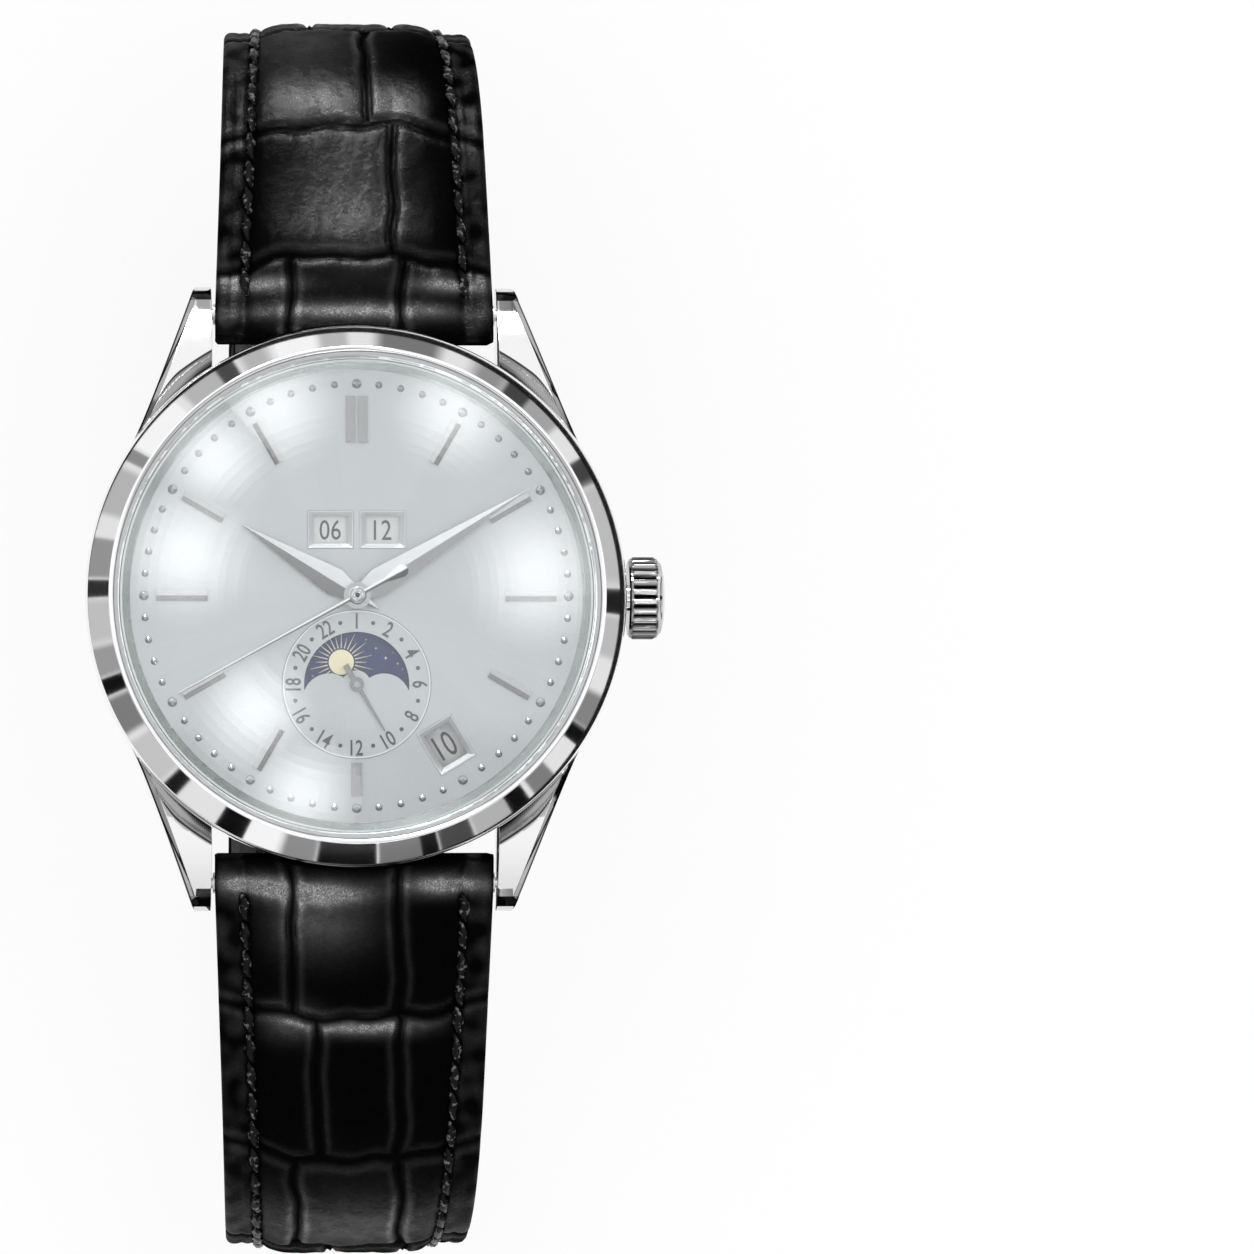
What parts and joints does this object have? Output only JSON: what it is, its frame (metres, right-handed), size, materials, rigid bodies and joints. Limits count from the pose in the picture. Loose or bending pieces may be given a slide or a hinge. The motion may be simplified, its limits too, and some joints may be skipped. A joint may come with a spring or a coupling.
{
  "type": "automatic watch",
  "caption": "Round steel automatic wristwatch with day, date, month and sun and moon displays on a padded black leather strap with a pin buckle.",
  "frame": {"origin": "centre of the case back's flat outer face", "axes": "+X to three o'clock and the crown, +Y to twelve o'clock, +Z out of the dial"},
  "size_m": [0.0416, 0.0903, 0.0442],
  "materials": {
    "polished_steel": "polished to a mirror",
    "satin_steel": "fine satin",
    "marker_steel": "faceted and polished",
    "dial_silver": "silver sunburst",
    "rehaut_grey": "satin grey",
    "sapphire": "clear, domed",
    "gasket": "matt",
    "brass": "polished and gilt",
    "rhodium": "striped",
    "blued_steel": "heat blued",
    "spring_steel": "bright",
    "calendar_white": "satin lacquer",
    "sky_blue": "lacquered",
    "black_leather": "glossy, embossed with scales",
    "lining_leather": "matt, fine grain"
  },
  "bodies": {
    "case": {"mid_case": "polished_steel", "bezel": "polished_steel", "crystal": "sapphire", "crystal_gasket": "gasket", "rehaut": "rehaut_grey", "case_back": "satin_steel", "back_window": "sapphire", "movement_ring": "satin_steel", "crown_tube": "polished_steel", "spring_bars": "satin_steel", "dial": "dial_silver", "window_frames": "marker_steel", "hour_markers": "marker_steel", "minute_dots": "marker_steel", "main_plate": "rhodium", "train_bridge": "rhodium", "balance_cock": "rhodium", "bridge_screws": "blued_steel", "hairspring": "blued_steel", "rotor_bearing": "satin_steel"},
    "clutch": {"clutch_wheel": "satin_steel"},
    "crown": {"crown": "polished_steel", "stem": "satin_steel"},
    "winding_pinion": {"winding_pinion": "satin_steel"},
    "crown_wheel": {"crown_wheel": "satin_steel"},
    "ratchet": {"ratchet_wheel": "satin_steel", "barrel_arbor": "satin_steel"},
    "click": {"click": "satin_steel"},
    "minutes": {"minute_hand": "marker_steel", "cannon_pinion": "satin_steel"},
    "hours": {"hour_hand": "marker_steel", "hour_wheel": "brass"},
    "minute_wheel": {"minute_wheel": "brass"},
    "idler_wheel": {"idler_wheel": "brass"},
    "day_night": {"day_night_wheel": "brass", "day_night_hand": "marker_steel", "sun_moon_disc": "sky_blue"},
    "seconds": {"fourth_wheel": "brass", "seconds_hand": "marker_steel"},
    "third_wheel": {"third_wheel": "brass"},
    "centre_wheel": {"centre_wheel": "brass"},
    "escape_wheel": {"escape_wheel": "brass"},
    "barrel": {"barrel": "brass", "mainspring": "spring_steel"},
    "pallet_fork": {"pallet_fork": "satin_steel"},
    "balance": {"balance_wheel": "brass"},
    "date_ring": {"date_ring": "calendar_white"},
    "day_disc": {"day_disc": "calendar_white"},
    "month_disc": {"month_disc": "calendar_white"},
    "rotor": {"rotor": "rhodium"},
    "reverser_wheel": {"reverser_wheel": "brass"},
    "strap_12": {"strap_12": "black_leather", "strap_12_lining": "lining_leather", "fixed_keeper": "black_leather"},
    "free_keeper": {"free_keeper": "black_leather"},
    "buckle": {"buckle": "polished_steel", "buckle_bar": "satin_steel"},
    "tongue": {"buckle_tongue": "polished_steel"},
    "strap_6": {"strap_6": "black_leather", "strap_6_lining": "lining_leather"}
  },
  "joints": [
    {"name": "crown_spin", "type": "hinge", "parent": "case", "child": "clutch", "pos_m": [0, 0, 0.00449], "axis": [1, 0, 0], "continuous": true},
    {"name": "crown_pull", "type": "slide", "parent": "clutch", "child": "crown", "axis": [1, 0, 0], "range_m": [0, 0.0012]},
    {"name": "winding_pinion_spin", "type": "hinge", "parent": "case", "child": "winding_pinion", "pos_m": [0, 0, 0.00449], "axis": [1, 0, 0], "continuous": true},
    {"name": "crown_wheel_spin", "type": "hinge", "parent": "case", "child": "crown_wheel", "pos_m": [0.00776, 0, 0.003], "axis": [0, 0, 1], "continuous": true},
    {"name": "ratchet_spin", "type": "hinge", "parent": "case", "child": "ratchet", "pos_m": [0.00293, 0.00507, 0.003], "axis": [0, 0, 1], "continuous": true},
    {"name": "click_pivot", "type": "hinge", "parent": "case", "child": "click", "pos_m": [0.00152, 0.01032, 0.003], "axis": [0, 0, -1], "range_deg": [0, 10], "stiffness_Nm_per_rad": 0.0000003},
    {"name": "minute_hand_spin", "type": "hinge", "parent": "case", "child": "minutes", "pos_m": [0, 0, 0.0088], "axis": [0, 0, -1], "continuous": true},
    {"name": "hour_hand_spin", "type": "hinge", "parent": "case", "child": "hours", "pos_m": [0, 0, 0.0083], "axis": [0, 0, -1], "continuous": true},
    {"name": "minute_wheel_spin", "type": "hinge", "parent": "case", "child": "minute_wheel", "pos_m": [0.00153, 0.00129, 0.0065], "axis": [0, 0, -1], "continuous": true},
    {"name": "idler_spin", "type": "hinge", "parent": "case", "child": "idler_wheel", "pos_m": [-0.00124, -0.00229, 0.0067], "axis": [0, 0, -1], "continuous": true},
    {"name": "day_night_spin", "type": "hinge", "parent": "case", "child": "day_night", "pos_m": [0, -0.0063, 0.007], "axis": [0, 0, -1], "continuous": true},
    {"name": "seconds_spin", "type": "hinge", "parent": "case", "child": "seconds", "pos_m": [0, 0, 0.0092], "axis": [0, 0, -1], "continuous": true},
    {"name": "third_spin", "type": "hinge", "parent": "case", "child": "third_wheel", "pos_m": [-0.00429, -0.00248, 0.0045], "axis": [0, 0, -1], "continuous": true},
    {"name": "centre_spin", "type": "hinge", "parent": "case", "child": "centre_wheel", "pos_m": [0, 0, 0.0054], "axis": [0, 0, -1], "continuous": true},
    {"name": "escape_spin", "type": "hinge", "parent": "case", "child": "escape_wheel", "pos_m": [0.0041, -0.00236, 0.0045], "axis": [0, 0, -1], "continuous": true},
    {"name": "barrel_spin", "type": "hinge", "parent": "case", "child": "barrel", "pos_m": [0.00293, 0.00507, 0.0047], "axis": [0, 0, -1], "continuous": true},
    {"name": "pallet_rock", "type": "hinge", "parent": "case", "child": "pallet_fork", "pos_m": [0.00469, -0.00505, 0.0045], "axis": [0, 0, 1], "range_deg": [-5, 5]},
    {"name": "balance_swing", "type": "hinge", "parent": "case", "child": "balance", "pos_m": [0.0052, -0.0074, 0.0042], "axis": [0, 0, 1], "range_deg": [-270, 270], "stiffness_Nm_per_rad": 0.00000025},
    {"name": "date_spin", "type": "hinge", "parent": "case", "child": "date_ring", "pos_m": [0, 0, 0.0065], "axis": [0, 0, 1], "continuous": true},
    {"name": "day_spin", "type": "hinge", "parent": "case", "child": "day_disc", "pos_m": [-0.0064, 0.00473, 0.0072], "axis": [0, 0, -1], "continuous": true},
    {"name": "month_spin", "type": "hinge", "parent": "case", "child": "month_disc", "pos_m": [0.0064, 0.00473, 0.0072], "axis": [0, 0, -1], "continuous": true},
    {"name": "rotor_spin", "type": "hinge", "parent": "case", "child": "rotor", "pos_m": [0, 0, 0.002], "axis": [0, 0, 1], "continuous": true},
    {"name": "reverser_spin", "type": "hinge", "parent": "case", "child": "reverser_wheel", "pos_m": [0, -0.00315, 0.0029], "axis": [0, 0, 1], "continuous": true},
    {"name": "strap_12_swing", "type": "hinge", "parent": "case", "child": "strap_12", "pos_m": [0, 0.0204, 0.0029], "axis": [1, 0, 0], "range_deg": [-20, 0]},
    {"name": "free_keeper_slide", "type": "slide", "parent": "strap_12", "child": "free_keeper", "axis": [0, -1, 0], "range_m": [-0.01, 0.0075]},
    {"name": "buckle_hinge", "type": "hinge", "parent": "strap_12", "child": "buckle", "pos_m": [0, -0.00414, -0.0221], "axis": [-1, 0, 0], "range_deg": [-15, 75]},
    {"name": "tongue_hinge", "type": "hinge", "parent": "buckle", "child": "tongue", "pos_m": [0, -0.00414, -0.0221], "axis": [1, 0, 0], "range_deg": [0, 30]},
    {"name": "strap_6_swing", "type": "hinge", "parent": "case", "child": "strap_6", "pos_m": [0, -0.0204, 0.0029], "axis": [-1, 0, 0], "range_deg": [0, 55]}
  ],
  "couplings": [
    {"joint": "winding_pinion_spin", "follows": "crown_spin", "ratio": 1},
    {"joint": "crown_wheel_spin", "follows": "crown_spin", "ratio": 0.46429},
    {"joint": "ratchet_spin", "follows": "crown_spin", "ratio": -0.30952},
    {"joint": "hour_hand_spin", "follows": "minute_hand_spin", "ratio": 0.083333},
    {"joint": "minute_wheel_spin", "follows": "minute_hand_spin", "ratio": -0.33333},
    {"joint": "idler_spin", "follows": "minute_hand_spin", "ratio": -0.13333},
    {"joint": "day_night_spin", "follows": "minute_hand_spin", "ratio": 0.041667},
    {"joint": "third_spin", "follows": "seconds_spin", "ratio": -0.125},
    {"joint": "centre_spin", "follows": "seconds_spin", "ratio": 0.016667},
    {"joint": "escape_spin", "follows": "seconds_spin", "ratio": -9.75},
    {"joint": "barrel_spin", "follows": "seconds_spin", "ratio": -0.0020833},
    {"joint": "reverser_spin", "follows": "rotor_spin", "ratio": -0.5}
  ]
}
